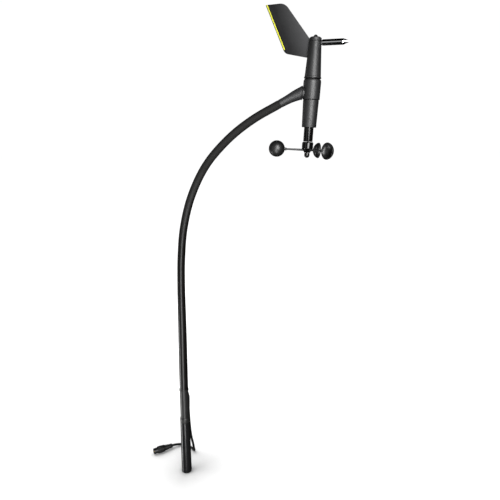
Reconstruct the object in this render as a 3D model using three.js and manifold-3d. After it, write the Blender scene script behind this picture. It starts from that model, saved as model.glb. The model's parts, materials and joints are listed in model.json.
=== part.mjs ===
// Masthead cup anemometer with a wind vane, on a curved spar with a plug-in spigot.
// Millimetres, +Z up. The origin is the centre of the spigot's bottom face,
// +X points from the spar towards the sensor, +Y is the side that the loose cable lies on.

import * as THREE from 'three';
import { mergeVertices } from 'three/addons/utils/BufferGeometryUtils.js';
import Module from 'manifold-3d';

const wasm = await Module();
wasm.setup();

// ---------- driving dimensions ----------

const GAP = 0.3;                       // clearance between pieces that touch

// Foot: spigot, collar and sleeve, from the bottom up.
const SPIGOT_TOP = 111;
const SPIGOT_BOTTOM_R = 9.9;
const SPIGOT_TOP_R = 9.3;
const SPIGOT_ROUND = 2.5;
const STUB_R = 5.8;                    // the stub that joins spigot and sleeve
const STUB_TOP = 141;
const COLLAR_TOP = 121.6;
const COLLAR_R = 9.4;
const SLEEVE_TOP = 182;
const SLEEVE_R = 8.4;
const SLEEVE_LIP_R = 8.9;
const SLEEVE_TONGUE_TOP = 197;         // the tongue inside the spar's lower end

// Spar: a hollow tapered tube on a planar curve in XZ.
const SPAR_WALL = 2;
const SPAR_FOOT_R = 8.2;
const SPAR_HEAD_R = 6.95;
const SPAR_TAPER_FROM = 210;           // heights between which the spar slims down
const SPAR_TAPER_TO = 450;
const SPAR_SIDES = 16;
const SPAR_BORE_SIDES = 12;
const SPAR_STEPS = 26;
const SPAR_LINE = [                    // centre line, as [x, z]
  [0, SLEEVE_TOP + GAP], [0.5, 240], [1.2, 310], [1.9, 395], [3.9, 443], [9.8, 496],
  [24.9, 552], [52.2, 606], [92, 650.6], [131.8, 681], [176.5, 706],
];

// Sensor head: everything is measured along its own leaning axis from the rotor's arm plane.
const HEAD_CENTRE = [225.1, 0, 631.1];
const HEAD_LEAN = THREE.MathUtils.degToRad(2.8);
const VANE_YAW = THREE.MathUtils.degToRad(-26);
const ROTOR_TURN = THREE.MathUtils.degToRad(2.7);

// Neck: the flared moulding between the spar and the head.
const NECK_LEVEL = 92;                 // height of the neck's axis where it meets the head
const NECK_FACE = 17.3;                // distance of its end face from the head's axis
const NECK_END_TALL = 11.2;            // half height and half width of the oval end
const NECK_END_WIDE = 9.8;
const NECK_FLARE = 2.4;                // how late the neck widens towards the head
const NECK_TONGUE = 22;                // length of its tongue inside the spar
const SEAL_OUT = 17;
const SEAL_IN = 15.3;

// Housings and bearings.
const LOWER_BOTTOM = 37.5;
const LOWER_TOP = 81;
const LOWER_BOTTOM_R = 12.05;
const LOWER_TOP_R = 13.15;
const MIDDLE_BOTTOM = 82.2;
const MIDDLE_TOP = 114.2;
const MIDDLE_BOTTOM_R = 14.2;
const MIDDLE_R = 14.55;
const BORE_R = 12.2;
const BEARING_R = 5;
const BEARING_WIDTH = 4;
const BEARING_BORE_R = 2.3;
const BEARING_SEAT_R = 5.3;
const SPINDLE_R = 2;
const SHAFT_R = 1.5;
const SHAFT_HOLE_R = 1.8;
const MAGNET_R = 3.2;
const CABLE_WAY_R = 3.4;
const BEARING_INSET = 0.7;             // how far a bearing sits inside its seat's mouth
const ROTOR_BOARD_FROM = 73;
const VANE_BOARD_FROM = 85.3;
const BOARD_THICK = 1.6;
const CHIP_SIZE = 5;
const CHIP_THICK = 1.2;
const HEADER_SIDE = 5.5;               // the header stands this far from the axis
const POST_R = 7.4;                    // the vane's bearing post and its flange
const POST_BOTTOM = 103;
const POST_TOP = 148;
const POST_FLANGE_R = 11.8;

// Rotating vane body, cap, blade and counterweight.
const VANE_BODY_BOTTOM = 115.5;
const VANE_BODY_TOP = 172.4;
const VANE_FLANGE_R = 14.2;
const VANE_BODY_LOW_R = 13.4;
const VANE_BODY_HIGH_R = 9.95;
const VANE_WALL = 2;
const CAP_BOTTOM = 172.9;
const CAP_TOP = 178.7;
const CAP_R = 9.9;
const CAP_NUT_R = 3.25;
const CAP_NUT_TOP = 182.9;
const BLADE_THICK = 1.8;
const BLADE_TOP = 234;
const WEIGHT_LEVEL = 170.3;
const WEIGHT_R = 4.7;
const WEIGHT_ROOT = 10.7;
const WEIGHT_TIP = 55.9;

// Cup rotor.
const ROTOR_R = 52;                    // rotor axis to cup centre
const CUP_COUNT = 3;
const HUB_R = 9.45;
const HUB_TOP = 13.3;
const HUB_BOTTOM = -4.6;
const HUB_SMALL_R = 4.6;
const TUBE_R = 7.9;
const TUBE_BOTTOM = 13.9;
const TUBE_TOP = 62;
const ARM_ROOT_R = 1.85;
const ARM_END_R = 1.4;
const CUP_R = 13.75;
const CUP_DEPTH = 10;
const CUP_WALL = 1.2;
const CUP_RIM_AHEAD = 2.6;             // the rim stands this far in front of the arm's axis

// Loose cable with its plug. The cable leaves the sleeve on its rear right side.
const CABLE_R = 2.4;
const CABLE_SIDES = 10;
const CABLE_STEPS = 44;
const EXIT_TURN = THREE.MathUtils.degToRad(55);
const EXIT_RADIUS = 11.1;
const GLAND_R = 3;
const GLAND_END_R = 2.65;
const GLAND_TOP = 160.5;
const GLAND_BOTTOM = 138;
const CABLE_ROUTE = [                  // from the gland's mouth to the plug's rear end
  [6.37, 9.09, 137.7], [6.4, 9.4, 128], [6.5, 11.1, 115], [6.5, 13.8, 102], [6.4, 17.7, 90],
  [6.3, 22.4, 78], [6.3, 27.8, 66], [6.5, 33.5, 54], [7, 39.2, 42], [7.8, 44.8, 30.5],
  [8.6, 49.4, 17], [9, 52.4, 9.6], [8.4, 56.2, 4.9], [6.2, 61, 2.8], [2.2, 66, 2.5],
  [-2.6, 70.9, 2.5], [-8, 75, 2.5], [-13.6, 77.9, 2.5], [-19.6, 78.9, 2.8], [-25.6, 77, 4.1],
  [-31, 73.45, 6.1], [-36.1, 70.44, 7.3], [-40.18, 68.18, 7.5],
];
const PLUG_REAR = [-40.5, 68, 7.5];
const PLUG_TURN = THREE.MathUtils.degToRad(-151);
const PLUG_CORE_R = 5.1;
const PLUG_CORE_END = 36;
const PLUG_INSERT_R = 4.5;
const PLUG_INSERT_END = 37.3;
const PLUG_PINS = 5;
const PLUG_PIN_END = 40.2;
const PLUG_PIN_CIRCLE = 2.6;
const NUT_START = 22.9;
const NUT_LENGTH = 9;
const NUT_R = 7.3;
const NUT_VALLEY_R = 6.9;
const NUT_TEETH = 16;
const NOSE_R = 5.8;
const NOSE_END = 40.5;                 // the nose stands proud of the pins, so they're guarded
const NOSE_MOUTH_R = 4.9;

// ---------- colours and finishes ----------

const FINISH = {
  housing: [0x3b3b3c, 0.45, 0.0],
  gloss: [0x141414, 0.2, 0.0],
  carbon: [0x1d1c1b, 0.3, 0.0],
  sleeve: [0x3a3a3a, 0.6, 0.0],
  anodised: [0x1e1e1f, 0.25, 0.6],
  rubber: [0x111111, 0.8, 0.0],
  steel: [0xc4c6c8, 0.15, 1.0],
  brass: [0xc9a55a, 0.3, 1.0],
  board: [0x1d5a35, 0.6, 0.0],
  chip: [0x181818, 0.5, 0.0],
  vane: [0x39393a, 0.5, 0.0],
  arm: [0x4a4a4b, 0.45, 0.0],
  magnet: [0x8f9296, 0.35, 1.0],
};

// ---------- small tools ----------

function closedMesh(geometry) {
  geometry.deleteAttribute('normal');
  geometry.deleteAttribute('uv');
  const merged = mergeVertices(geometry);
  const corners = merged.index.array;
  const kept = [];
  for (let i = 0; i < corners.length; i += 3) {
    const [a, b, c] = [corners[i], corners[i + 1], corners[i + 2]];
    if (a !== b && b !== c && c !== a) kept.push(a, b, c);
  }
  merged.setIndex(volumeOf(merged.attributes.position, kept) < 0 ? kept.reverse() : kept);
  return merged;
}

function volumeOf(position, corners) {
  const [a, b, c] = [new THREE.Vector3(), new THREE.Vector3(), new THREE.Vector3()];
  let volume = 0;
  for (let i = 0; i < corners.length; i += 3) {
    a.fromBufferAttribute(position, corners[i]);
    b.fromBufferAttribute(position, corners[i + 1]);
    c.fromBufferAttribute(position, corners[i + 2]);
    volume += a.dot(b.cross(c));
  }
  return volume;
}

function toSolid(geometry) {
  const mesh = closedMesh(geometry);
  return new wasm.Manifold(new wasm.Mesh({
    numProp: 3,
    vertProperties: new Float32Array(mesh.attributes.position.array),
    triVerts: new Uint32Array(mesh.index.array),
  }));
}

function toGeometry(solid) {
  const mesh = solid.getMesh();
  const geometry = new THREE.BufferGeometry();
  geometry.setAttribute('position', new THREE.BufferAttribute(mesh.vertProperties, 3));
  geometry.setIndex(new THREE.BufferAttribute(mesh.triVerts, 1));
  return geometry;
}

function piece(name, geometry, finish) {
  const [color, roughness, metalness] = FINISH[finish];
  const shape = closedMesh(geometry);
  shape.computeVertexNormals();
  const mesh = new THREE.Mesh(shape, new THREE.MeshStandardMaterial({ color, roughness, metalness }));
  mesh.name = name;
  return mesh;
}

// A body of revolution about Z. The profile is a list of [radius, height].
function turned(profile, sides = 20) {
  const points = profile.map(([r, z]) => new THREE.Vector2(r, z));
  return new THREE.LatheGeometry(points, sides).rotateX(Math.PI / 2);
}

// A turned ring whose profile closes on itself.
function turnedRing(profile, sides = 20) {
  return turned([...profile, profile[0]], sides);
}

function ring(outer, inner, bottom, top, sides = 20) {
  return turnedRing([[inner, bottom], [outer, bottom], [outer, top], [inner, top]], sides);
}

function disc(radius, bottom, top, sides = 20) {
  return turned([[0, bottom], [radius, bottom], [radius, top], [0, top]], sides);
}

// Points on a quarter ellipse, from angle a to angle b in degrees.
function arc(centreR, centreZ, radiusR, radiusZ, a, b, steps) {
  const points = [];
  for (let i = 0; i <= steps; i += 1) {
    const t = THREE.MathUtils.degToRad(a + (b - a) * i / steps);
    points.push([centreR + radiusR * Math.cos(t), centreZ + radiusZ * Math.sin(t)]);
  }
  return points;
}

// A closed skin through oval sections. Each has a centre, two unit directions and two radii.
function loft(sections, sides) {
  const vertices = [];
  const corners = [];
  for (const { centre, up, side, tall, wide } of sections) {
    for (let i = 0; i < sides; i += 1) {
      const t = 2 * Math.PI * i / sides;
      const point = centre.clone()
        .addScaledVector(up, tall * Math.cos(t))
        .addScaledVector(side, wide * Math.sin(t));
      vertices.push(...point.toArray());
    }
  }
  for (let row = 0; row + 1 < sections.length; row += 1) {
    for (let i = 0; i < sides; i += 1) {
      const [a, b] = [row * sides + i, row * sides + (i + 1) % sides];
      corners.push(a, b, b + sides, a, b + sides, a + sides);
    }
  }
  const last = (sections.length - 1) * sides;
  for (let i = 1; i + 1 < sides; i += 1) {
    corners.push(0, i + 1, i);
    corners.push(last, last + i, last + i + 1);
  }
  const geometry = new THREE.BufferGeometry();
  geometry.setAttribute('position', new THREE.Float32BufferAttribute(vertices, 3));
  geometry.setIndex(corners);
  return geometry;
}

function smooth(t) {
  const u = THREE.MathUtils.clamp(t, 0, 1);
  return u * u * (3 - 2 * u);
}

// A thin lead with a section at each point of its route.
function lead(route, radius, sides) {
  const heading = (i) => route[Math.min(i + 1, route.length - 1)].clone()
    .sub(route[Math.max(i - 1, 0)]).normalize();
  const side = new THREE.Vector3(0, 1, 0);
  const sections = route.map((centre, i) => {
    const ahead = heading(i);
    side.addScaledVector(ahead, -side.dot(ahead)).normalize();
    const up = new THREE.Vector3().crossVectors(ahead, side);
    return { centre, up, side: side.clone(), tall: radius, wide: radius };
  });
  return loft(sections, sides);
}

function tube(route, radius, sides, steps) {
  const path = new THREE.CatmullRomCurve3(route.map((p) => new THREE.Vector3(...p)), false, 'centripetal');
  const outline = [];
  for (let i = 0; i < sides; i += 1) {
    const t = 2 * Math.PI * i / sides;
    outline.push(new THREE.Vector2(radius * Math.cos(t), radius * Math.sin(t)));
  }
  const settings = { steps, extrudePath: path, bevelEnabled: false };
  return new THREE.ExtrudeGeometry(new THREE.Shape(outline), settings);
}

// ---------- the leaning head's own frame ----------

const headAxis = new THREE.Vector3(Math.sin(HEAD_LEAN), 0, Math.cos(HEAD_LEAN));
const headAcross = new THREE.Vector3(Math.cos(HEAD_LEAN), 0, -Math.sin(HEAD_LEAN));

function headPoint(across, along) {
  return new THREE.Vector3(...HEAD_CENTRE)
    .addScaledVector(headAcross, across)
    .addScaledVector(headAxis, along);
}

// ---------- foot ----------

function spigot() {
  const edge = arc(SPIGOT_BOTTOM_R - SPIGOT_ROUND, SPIGOT_ROUND, SPIGOT_ROUND, SPIGOT_ROUND, -90, 0, 3);
  return turned([
    [0, 0], ...edge, [SPIGOT_TOP_R, SPIGOT_TOP - 0.6], [SPIGOT_TOP_R - 0.6, SPIGOT_TOP],
    [STUB_R, SPIGOT_TOP], [STUB_R, STUB_TOP], [0, STUB_TOP],
  ], 28);
}

function spigotCollar() {
  return turnedRing([
    [STUB_R + GAP, SPIGOT_TOP + GAP], [COLLAR_R, SPIGOT_TOP + GAP], [COLLAR_R, COLLAR_TOP - 2],
    [COLLAR_R - 0.9, COLLAR_TOP], [STUB_R + GAP, COLLAR_TOP],
  ], 28);
}

function exitPoint(radius, z) {
  return [radius * Math.cos(EXIT_TURN), radius * Math.sin(EXIT_TURN), z];
}

// The way from the sleeve's bore out to the gland.
const INNER_TAIL = [
  [0, 180], [0.7, 175.6], [2.7, 171.6], [5.4, 168.4], [8, 165.7], [9.9, 163],
].map(([radius, z]) => new THREE.Vector3(...exitPoint(radius, z)));

function sleeve() {
  const socketTop = STUB_TOP + 1;
  const socketR = STUB_R + 0.4;
  const bottom = COLLAR_TOP + GAP;
  const boreR = 2.6;
  const tongueR = SPAR_FOOT_R - SPAR_WALL - 0.6;
  const barrel = toSolid(turned([
    [0, socketTop], [socketR, socketTop], [socketR, bottom], [SLEEVE_R, bottom],
    [SLEEVE_R, SLEEVE_TOP - 4.4], [SLEEVE_LIP_R, SLEEVE_TOP - 3.8], [SLEEVE_LIP_R, SLEEVE_TOP],
    [tongueR, SLEEVE_TOP], [tongueR, SLEEVE_TONGUE_TOP], [boreR, SLEEVE_TONGUE_TOP],
    [boreR, 168], [0, 168],
  ], 24));
  const bulge = new THREE.SphereGeometry(1, 14, 10).scale(5.4, 14, 5.4).rotateX(Math.PI / 2);
  bulge.translate(...exitPoint(7.2, 160));
  const glandRoom = disc(GLAND_R + GAP, GLAND_BOTTOM - 4, GLAND_TOP + 1.5, 16);
  glandRoom.translate(...exitPoint(EXIT_RADIUS, 0));
  const way = lead([...INNER_TAIL, new THREE.Vector3(...exitPoint(EXIT_RADIUS, GLAND_TOP))], 2.3, 10);
  const inside = toSolid(disc(boreR, 168, 186, 12));
  const core = toSolid(disc(socketR + 0.6, bottom - 1, socketTop));
  return toGeometry(barrel
    .add(toSolid(bulge).subtract(inside).subtract(core))
    .subtract(toSolid(glandRoom))
    .subtract(toSolid(way)));
}

function cableGland() {
  const body = turned([
    [0, GLAND_TOP], [GLAND_R, GLAND_TOP], [GLAND_R, 151], [GLAND_R - 0.5, 150.4], [GLAND_R - 0.5, 149],
    [GLAND_R - 0.1, 148.4], [GLAND_R - 0.15, 146.6], [GLAND_R - 0.6, 146], [GLAND_R - 0.6, 144.6],
    [GLAND_R - 0.2, 144], [GLAND_END_R, GLAND_BOTTOM + 0.5], [GLAND_END_R - 0.3, GLAND_BOTTOM],
    [0, GLAND_BOTTOM],
  ], 16);
  return body.translate(...exitPoint(EXIT_RADIUS, 0));
}

// ---------- spar and neck ----------

const sparPath = new THREE.CatmullRomCurve3(
  SPAR_LINE.map(([x, z]) => new THREE.Vector3(x, 0, z)), false, 'centripetal',
);

function sparRadius(height) {
  const slim = smooth((height - SPAR_TAPER_FROM) / (SPAR_TAPER_TO - SPAR_TAPER_FROM));
  return SPAR_FOOT_R + (SPAR_HEAD_R - SPAR_FOOT_R) * slim;
}

function sectionOn(path, u, radius) {
  const tangent = path.getTangentAt(u);
  const side = new THREE.Vector3(0, 1, 0);
  const up = new THREE.Vector3().crossVectors(tangent, side).normalize();
  return { centre: path.getPointAt(u), up, side, tall: radius, wide: radius };
}

// A tube's skin on the spar's curve, run past both ends by the given length.
function sparSkin(thinner, past, sides) {
  const steps = SPAR_STEPS;
  const sections = [];
  for (let i = 0; i <= steps; i += 1) {
    const section = sectionOn(sparPath, i / steps, 0);
    section.tall = sparRadius(section.centre.z) - thinner;
    section.wide = section.tall;
    sections.push(section);
  }
  sections[0].centre.addScaledVector(sparPath.getTangentAt(0), -past);
  sections[steps].centre.addScaledVector(sparPath.getTangentAt(1), past);
  return toSolid(loft(sections, sides));
}

function sparTube() {
  return toGeometry(sparSkin(0, 0, SPAR_SIDES).subtract(sparSkin(SPAR_WALL, 1, SPAR_BORE_SIDES)));
}

const neckPath = (() => {
  const start = sparPath.getPointAt(1);
  const heading = sparPath.getTangentAt(1);
  const end = headPoint(-NECK_FACE, NECK_LEVEL);
  const inner = start.clone().addScaledVector(heading, -NECK_TONGUE);
  const first = start.clone().addScaledVector(heading, 2 * GAP);
  const before = end.clone().addScaledVector(new THREE.Vector3(-0.91, 0, -0.42), 12);
  return { inner, first, curve: new THREE.CatmullRomCurve3([first, before, end]) };
})();

function neckSkin(tallEnd, wideEnd, startRadius, past, sides) {
  const steps = 8;
  const sections = [];
  for (let i = 0; i <= steps; i += 1) {
    const u = i / steps;
    const section = sectionOn(neckPath.curve, u, startRadius);
    const flare = u ** NECK_FLARE;
    section.tall = startRadius + (tallEnd - startRadius) * flare;
    section.wide = startRadius + (wideEnd - startRadius) * flare;
    section.up.lerp(headAxis, smooth((u - 0.55) / 0.45)).normalize();
    sections.push(section);
  }
  sections[steps].centre.addScaledVector(headAcross, past);
  return toSolid(loft(sections, sides));
}

function neckMoulding() {
  const flare = neckSkin(NECK_END_TALL, NECK_END_WIDE, SPAR_HEAD_R, 0, 20);
  const bore = neckSkin(6.5, 6, 2.6, 1, 10);
  const heading = sparPath.getTangentAt(1);
  const inward = neckPath.first.clone().addScaledVector(heading, 2);
  const tongueR = SPAR_HEAD_R - SPAR_WALL - 0.6;
  const tongue = straightRod(neckPath.inner, inward, tongueR);
  const tongueBore = straightRod(
    neckPath.inner.clone().addScaledVector(heading, -1),
    neckPath.first.clone().addScaledVector(heading, 1),
    2.6,
  );
  return toGeometry(flare.add(tongue).subtract(bore).subtract(tongueBore));
}

function straightRod(from, to, radius) {
  const side = new THREE.Vector3(0, 1, 0);
  const up = new THREE.Vector3().subVectors(to, from).cross(side).normalize();
  const ends = [from, to].map((centre) => ({ centre, up, side, tall: radius, wide: radius }));
  return toSolid(loft(ends, 14));
}

// An oval ring around the neck's axis, in the head's own frame.
function ovalBar(tall, wide, from, to, level, sides = 24) {
  const up = new THREE.Vector3(0, 0, 1);
  const side = new THREE.Vector3(0, 1, 0);
  const ends = [from, to].map((x) => (
    { centre: new THREE.Vector3(x, 0, level), up, side, tall, wide }
  ));
  return toSolid(loft(ends, sides));
}

function neckSeal() {
  const outside = ovalBar(NECK_END_TALL + 0.3, NECK_END_WIDE + 0.3, -SEAL_OUT, -SEAL_IN, NECK_LEVEL);
  const hole = ovalBar(6.2, 5.8, -SEAL_OUT - 1, -SEAL_IN + 1, NECK_LEVEL);
  return toGeometry(outside.subtract(hole));
}

function innerCable() {
  const spans = 20;
  const inHead = [[-8.2, 87.4], [-8.3, 88.8], [-8.9, 90.3], [-10.2, 91.5], [-12, 92], [-NECK_FACE, 92]];
  const inSpar = Array.from({ length: spans - 1 }, (_, i) => sparPath.getPointAt(1 - (i + 1) / spans));
  return lead([
    ...inHead.map(([across, along]) => headPoint(across, along)),
    neckPath.curve.getPointAt(0.5),
    neckPath.curve.getPointAt(0),
    ...inSpar,
    ...INNER_TAIL,
  ], 1.5, 8);
}

// ---------- fixed parts of the head ----------

function lowerHousing() {
  return turnedRing([
    [TUBE_R + 0.4, LOWER_BOTTOM], [LOWER_BOTTOM_R - 0.5, LOWER_BOTTOM], [LOWER_BOTTOM_R, LOWER_BOTTOM + 0.5],
    [LOWER_TOP_R, LOWER_TOP], [11.1, LOWER_TOP], [10.85, 72.7], [9.7, 72.7], [9.7, 70.7], [10.7, 69.7],
    [9.9, LOWER_BOTTOM + 3.5], [TUBE_R + 0.4, LOWER_BOTTOM + 3.5],
  ], 24);
}

function housingSeal() {
  return ring(LOWER_TOP_R - 0.5, 10.95, LOWER_TOP + GAP, MIDDLE_BOTTOM - GAP, 28);
}

function middleHousing() {
  const lipR = 10.65;
  const shoulder = arc(MIDDLE_R - 2.2, 109.5, 2.2, MIDDLE_TOP - 109.5, 0, 70, 3);
  const barrel = toSolid(turnedRing([
    [9.2, 79.2], [lipR, 79.2], [lipR, MIDDLE_BOTTOM], [MIDDLE_BOTTOM_R, MIDDLE_BOTTOM], ...shoulder,
    [BORE_R, MIDDLE_TOP], [BORE_R, 104.2], [10.4, 104.2], [10.4, 101.8], [BORE_R, 100.2],
    [BORE_R, 85], [9.2, 85],
  ], 24));
  const boss = ovalBar(8.8, 9, -SEAL_IN + GAP, -11, NECK_LEVEL);
  const bore = toSolid(disc(BORE_R, 80, 104, 24));
  const way = ovalBar(CABLE_WAY_R, CABLE_WAY_R, -SEAL_IN - 1, -9, NECK_LEVEL, 16);
  return toGeometry(barrel.add(boss.subtract(bore)).subtract(way));
}

function bearing(bottom, boreR) {
  const top = bottom + BEARING_WIDTH;
  const [shieldIn, shieldOut, dip] = [boreR + 0.9, BEARING_R - 0.9, 0.4];
  return turnedRing([
    [boreR, bottom], [BEARING_R, bottom], [BEARING_R, top], [shieldOut, top],
    [shieldOut, top - dip], [shieldIn, top - dip], [shieldIn, top], [boreR, top],
  ], 16);
}

// A tube with a bearing seat at each end and a flange between flangeFrom and flangeTo.
function bearingCarrier(outer, bottom, top, flangeR, flangeFrom, flangeTo) {
  const seat = BEARING_WIDTH + 1.1;
  return turnedRing([
    [BEARING_SEAT_R, bottom], [outer, bottom], [outer, flangeFrom], [flangeR, flangeFrom],
    [flangeR, flangeTo], [outer, flangeTo], [outer, top], [BEARING_SEAT_R, top],
    [BEARING_SEAT_R, top - seat], [4.2, top - seat], [4.2, bottom + seat], [BEARING_SEAT_R, bottom + seat],
  ], 20);
}

// A cup that carries a magnet disc in one end and a shaft in the other. It is built with the
// magnet's pocket down; the rotor's holder is turned over.
function magnetHolder(shaftR) {
  return turned([
    [0, 2.4], [MAGNET_R + GAP, 2.4], [MAGNET_R + GAP, 0], [4.5, 0], [4.5, 7], [shaftR + GAP, 7],
    [shaftR + GAP, 3.4], [0, 3.4],
  ], 14);
}

// ---------- vane ----------

function vaneBodyRadius(s) {
  const low = VANE_BODY_BOTTOM + 2.5;
  const t = (s - low) / (VANE_BODY_TOP - low);
  return VANE_BODY_LOW_R + (VANE_BODY_HIGH_R - VANE_BODY_LOW_R) * t;
}

function bladeSlot(from, to) {
  const slot = new THREE.BoxGeometry(9, BLADE_THICK + 2 * GAP, to - from);
  return toSolid(slot.translate(-11, 0, (from + to) / 2));
}

function vaneBody() {
  const flange = VANE_BODY_BOTTOM;
  const web = 152;
  const shell = toSolid(turnedRing([
    [BORE_R, flange], [VANE_FLANGE_R, flange], [VANE_FLANGE_R, flange + 1.8], [VANE_BODY_LOW_R, flange + 2.5],
    [VANE_BODY_HIGH_R, VANE_BODY_TOP], [VANE_BODY_HIGH_R - VANE_WALL, VANE_BODY_TOP],
    [vaneBodyRadius(web + 4) - VANE_WALL, web + 4], [SPINDLE_R + GAP, web + 4], [SPINDLE_R + GAP, web],
    [vaneBodyRadius(web) - VANE_WALL, web], [VANE_BODY_LOW_R - VANE_WALL, flange + 4],
  ], 24));
  const weightHole = toSolid(new THREE.CylinderGeometry(1.8, 1.8, 6, 16).rotateZ(Math.PI / 2)
    .translate(VANE_BODY_HIGH_R - 1, 0, WEIGHT_LEVEL));
  return toGeometry(shell.subtract(bladeSlot(146.6, 174)).subtract(weightHole));
}

function vaneCap() {
  const edge = arc(CAP_R - 1.6, CAP_TOP - 1.2, 1.2, 1.2, 0, 90, 3);
  const shell = toSolid(turnedRing([
    [CAP_R - VANE_WALL, CAP_BOTTOM], [CAP_R, CAP_BOTTOM], ...edge, [SPINDLE_R + GAP, CAP_TOP],
    [SPINDLE_R + GAP, CAP_TOP - 2], [CAP_R - 2.3, CAP_TOP - 2],
  ], 24));
  return toGeometry(shell.subtract(bladeSlot(170, CAP_TOP - 1.4)));
}

function capNut() {
  const bottom = CAP_TOP + GAP;
  const dome = arc(0, bottom + 0.9, CAP_NUT_R, CAP_NUT_TOP - bottom - 0.9, 0, 80, 3);
  return turned([
    [0, bottom + 2.2], [SPINDLE_R + GAP, bottom + 2.2], [SPINDLE_R + GAP, bottom], [CAP_NUT_R, bottom],
    ...dome, [0, CAP_NUT_TOP],
  ], 16);
}

// The blade's outline: x is minus the distance from the head's axis, y is the height.
function bladeOutline() {
  const corners = [
    { at: [-8.6, 175.6], round: 0 },
    { at: [-10.3, 147.5], round: 0 },
    { at: [-52.3, 155.7], round: 6.5 },
    { at: [-92.3, 233.3], round: 1.5 },
    { at: [-57.5, BLADE_TOP], round: 10.5 },
  ];
  const shape = new THREE.Shape();
  corners.forEach(({ at, round }, i) => {
    const here = new THREE.Vector2(...at);
    const before = new THREE.Vector2(...corners[(i + corners.length - 1) % corners.length].at);
    const after = new THREE.Vector2(...corners[(i + 1) % corners.length].at);
    const from = here.clone().add(before.sub(here).setLength(round));
    const to = here.clone().add(after.sub(here).setLength(round));
    if (i === 0) shape.moveTo(from.x, from.y);
    else shape.lineTo(from.x, from.y);
    if (round > 0) shape.quadraticCurveTo(here.x, here.y, to.x, to.y);
  });
  shape.closePath();
  return shape;
}

function vaneBlade() {
  const plate = new THREE.ExtrudeGeometry(bladeOutline(), {
    depth: BLADE_THICK, bevelEnabled: false, curveSegments: 8,
  });
  return plate.translate(0, 0, -BLADE_THICK / 2).rotateX(Math.PI / 2);
}

function counterweight() {
  const stubEnd = WEIGHT_ROOT - 3.2;
  return turned([
    [0, stubEnd], [1.5, stubEnd], [1.5, WEIGHT_ROOT], [3.6, WEIGHT_ROOT], [WEIGHT_R, WEIGHT_ROOT + 2.2],
    [WEIGHT_R, WEIGHT_TIP - 9.5], [WEIGHT_R - 0.5, WEIGHT_TIP - 8], [1.1, WEIGHT_TIP - 0.5], [0, WEIGHT_TIP],
  ], 20).rotateY(Math.PI / 2).translate(0, 0, WEIGHT_LEVEL);
}

// ---------- cup rotor ----------

function armAngle(i) {
  return ROTOR_TURN + Math.PI + 2 * Math.PI * i / CUP_COUNT;
}

function rotorHub() {
  let hub = toSolid(turnedRing([
    [SHAFT_HOLE_R, HUB_BOTTOM], [HUB_SMALL_R, HUB_BOTTOM], [HUB_R, 2.5], [HUB_R, HUB_TOP - 1.5],
    [HUB_R - 1.3, HUB_TOP], [6.4, HUB_TOP], [6.4, 6], [SHAFT_HOLE_R, 6],
  ], 24));
  for (let i = 0; i < CUP_COUNT; i += 1) {
    const socket = new THREE.CylinderGeometry(ARM_ROOT_R + GAP, ARM_ROOT_R + GAP, 8, 12);
    socket.rotateZ(Math.PI / 2).translate(7.6, 0, 0).rotateZ(armAngle(i));
    hub = hub.subtract(toSolid(socket));
  }
  return toGeometry(hub);
}

function tipNut() {
  const top = HUB_BOTTOM - GAP;
  const nose = arc(0, -8.6, 4.5, 4.4, 0, -80, 4);
  return turned([
    [0, -10.9], [SHAFT_HOLE_R, -10.9], [SHAFT_HOLE_R, top], [4.4, top], ...nose, [0, -13],
  ], 18);
}

const ARM_INNER_END = 4;
const CUP_SOCKET_FROM = ROTOR_R - CUP_R - 2.6;
const ARM_OUTER_END = CUP_SOCKET_FROM + 2.5;

function cupArm() {
  return new THREE.CylinderGeometry(ARM_ROOT_R, ARM_END_R, ARM_OUTER_END - ARM_INNER_END, 10)
    .rotateZ(Math.PI / 2)
    .translate((ARM_INNER_END + ARM_OUTER_END) / 2, 0, 0);
}

function cupProfile(radius, depth, steps) {
  const points = [[0, -depth]];
  for (let i = 1; i <= steps; i += 1) {
    const t = Math.PI / 2 * i / steps;
    points.push([radius * Math.sin(t), -depth * Math.cos(t) ** 1.15]);
  }
  return points;
}

// The cup opens along local -Y and hangs behind its rim; the arm's socket is on its inner side.
function cup() {
  const [sides, steps] = [20, 5];
  const outside = turned([...cupProfile(CUP_R, CUP_DEPTH, steps), [0, 0]], sides);
  const inside = turned([
    ...cupProfile(CUP_R - CUP_WALL, CUP_DEPTH - CUP_WALL, steps), [CUP_R - CUP_WALL, 3], [0, 3],
  ], sides);
  for (const skin of [outside, inside]) {
    skin.rotateX(Math.PI / 2).translate(ROTOR_R, -CUP_RIM_AHEAD, 0);
  }
  const from = CUP_SOCKET_FROM;
  const length = ROTOR_R - CUP_R + 3 - from;
  const boss = new THREE.CylinderGeometry(2.4, 2.4, length, 12).rotateZ(Math.PI / 2);
  boss.translate(from + length / 2, 0, 0);
  const socket = new THREE.CylinderGeometry(ARM_END_R + GAP, ARM_END_R + GAP, 5.6, 10);
  socket.rotateZ(Math.PI / 2).translate(from, 0, 0);
  return toGeometry(toSolid(outside).add(toSolid(boss)).subtract(toSolid(inside)).subtract(toSolid(socket)));
}

// ---------- plug ----------

// The plug is built along +X from its rear end at the origin.
function alongX(geometry) {
  return geometry.rotateY(Math.PI / 2);
}

function plugGrip() {
  const ribs = [];
  for (let i = 0; i < 3; i += 1) {
    const x = 4 + 4 * i;
    const r = 4.6 + 0.55 * i;
    ribs.push([r, x], [r, x + 1.9], [r - 0.7, x + 2.1], [r - 0.6, x + 3.8]);
  }
  return alongX(turned([
    [0, 0], [3.6, 0], [4.3, 0.8], [4.4, 3.8], ...ribs, [6.4, 16.2], [6.9, 19], [7.1, 22.5],
    [PLUG_CORE_R, 22.5], [PLUG_CORE_R, PLUG_CORE_END], [0, PLUG_CORE_END],
  ], 18));
}

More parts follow.
